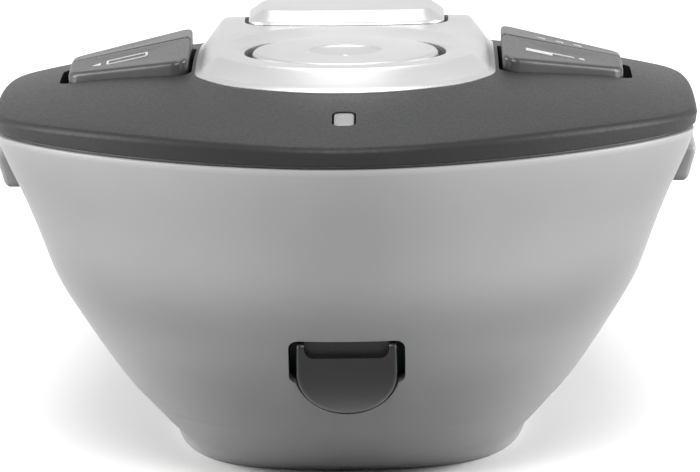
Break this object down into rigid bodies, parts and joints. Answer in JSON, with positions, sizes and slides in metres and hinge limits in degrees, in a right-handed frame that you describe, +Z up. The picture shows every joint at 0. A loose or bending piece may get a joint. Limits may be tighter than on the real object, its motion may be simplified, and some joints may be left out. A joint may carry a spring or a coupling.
{
  "type": "wireless presentation clicker",
  "caption": "Hand-held presentation clicker with a tilting thumb disk, a silver rear key, dark push keys, flank keys, a nose trigger and a sliding battery door.",
  "frame": {"origin": "middle of the bounding box's base: the flat foot's plane z = 0, below the middle of the body", "axes": "+Z up from the foot, -Y towards the nose with the trigger, +Y towards the tail, X across the symmetric width"},
  "size_m": [0.0608, 0.1357, 0.0385],
  "materials": {
    "hull_grey": "satin light grey moulding",
    "cover_charcoal": "fine texture, charcoal",
    "plate_silver": "fine metallic satin",
    "key_dark": "soft dark grey",
    "trigger_black": "semi gloss black",
    "lens_clear": "clear moulded light pipe",
    "lamp_white": "small lamp package",
    "board_green": "solder mask",
    "part_black": "moulded package",
    "steel": "plain bright steel",
    "ceramic_white": "ceramic",
    "inner_white": "natural moulding",
    "cell_jacket": "printed jacket without text"
  },
  "bodies": {
    "housing": {"lower_shell": "hull_grey", "top_cover": "cover_charcoal", "control_plate": "plate_silver", "nav_sensor": "part_black", "trigger_pin": "steel", "trigger_board": "board_green", "board_header": "part_black", "trigger_switch": "part_black", "side_switch_left": "part_black", "side_switch_right": "part_black", "main_board": "board_green", "key_switches_left": "part_black", "key_switches_right": "part_black", "rear_button_switch": "part_black", "radio_shield": "steel", "controller_chip": "part_black", "crystal": "steel", "antenna": "ceramic_white", "status_led": "lamp_white", "led_window": "lens_clear", "battery_cell_1": "cell_jacket", "battery_cell_2": "cell_jacket", "battery_tray": "inner_white", "battery_contacts": "steel", "battery_bridge": "steel", "case_screws": "steel", "board_screws": "steel"},
    "battery_door_body": {"battery_door": "hull_grey"},
    "nav_pivot_body": {"nav_pivot": "inner_white"},
    "nav_disk_body": {"nav_disk": "plate_silver"},
    "rear_button_body": {"rear_button": "plate_silver"},
    "key_front_left_body": {"key_front_left": "key_dark"},
    "key_front_right_body": {"key_front_right": "key_dark"},
    "key_rear_left_body": {"key_rear_left": "key_dark"},
    "key_rear_right_body": {"key_rear_right": "key_dark"},
    "trigger_body": {"trigger": "trigger_black"},
    "side_key_left_body": {"side_key_left": "hull_grey"},
    "side_key_right_body": {"side_key_right": "hull_grey"}
  },
  "joints": [
    {"name": "disk_rock_x", "type": "hinge", "parent": "housing", "child": "nav_pivot_body", "pos_m": [0, -0.0407, 0.033], "axis": [1, 0, 0], "range_deg": [-4, 4], "stiffness_Nm_per_rad": 0.05},
    {"name": "disk_rock_y", "type": "hinge", "parent": "nav_pivot_body", "child": "nav_disk_body", "pos_m": [0, -0.0407, 0.033], "axis": [0, 1, 0], "range_deg": [-4, 4], "stiffness_Nm_per_rad": 0.05},
    {"name": "rear_button_press", "type": "slide", "parent": "housing", "child": "rear_button_body", "axis": [0, 0, -1], "range_m": [0, 0.0004], "stiffness_N_per_m": 400},
    {"name": "key_front_left_press", "type": "slide", "parent": "housing", "child": "key_front_left_body", "axis": [0, 0, -1], "range_m": [0, 0.0004], "stiffness_N_per_m": 400},
    {"name": "key_front_right_press", "type": "slide", "parent": "housing", "child": "key_front_right_body", "axis": [0, 0, -1], "range_m": [0, 0.0004], "stiffness_N_per_m": 400},
    {"name": "key_rear_left_press", "type": "slide", "parent": "housing", "child": "key_rear_left_body", "axis": [0, 0, -1], "range_m": [0, 0.0004], "stiffness_N_per_m": 400},
    {"name": "key_rear_right_press", "type": "slide", "parent": "housing", "child": "key_rear_right_body", "axis": [0, 0, -1], "range_m": [0, 0.0004], "stiffness_N_per_m": 400},
    {"name": "side_key_left_press", "type": "slide", "parent": "housing", "child": "side_key_left_body", "axis": [1, 0, 0], "range_m": [0, 0.0004], "stiffness_N_per_m": 400},
    {"name": "side_key_right_press", "type": "slide", "parent": "housing", "child": "side_key_right_body", "axis": [-1, 0, 0], "range_m": [0, 0.0004], "stiffness_N_per_m": 400},
    {"name": "trigger_pull", "type": "hinge", "parent": "housing", "child": "trigger_body", "pos_m": [0, -0.0565, 0.0174], "axis": [1, 0, 0], "range_deg": [0, 8], "stiffness_Nm_per_rad": 0.08},
    {"name": "battery_door_slide", "type": "slide", "parent": "housing", "child": "battery_door_body", "axis": [0, 1, 0], "range_m": [0, 0.09]}
  ]
}
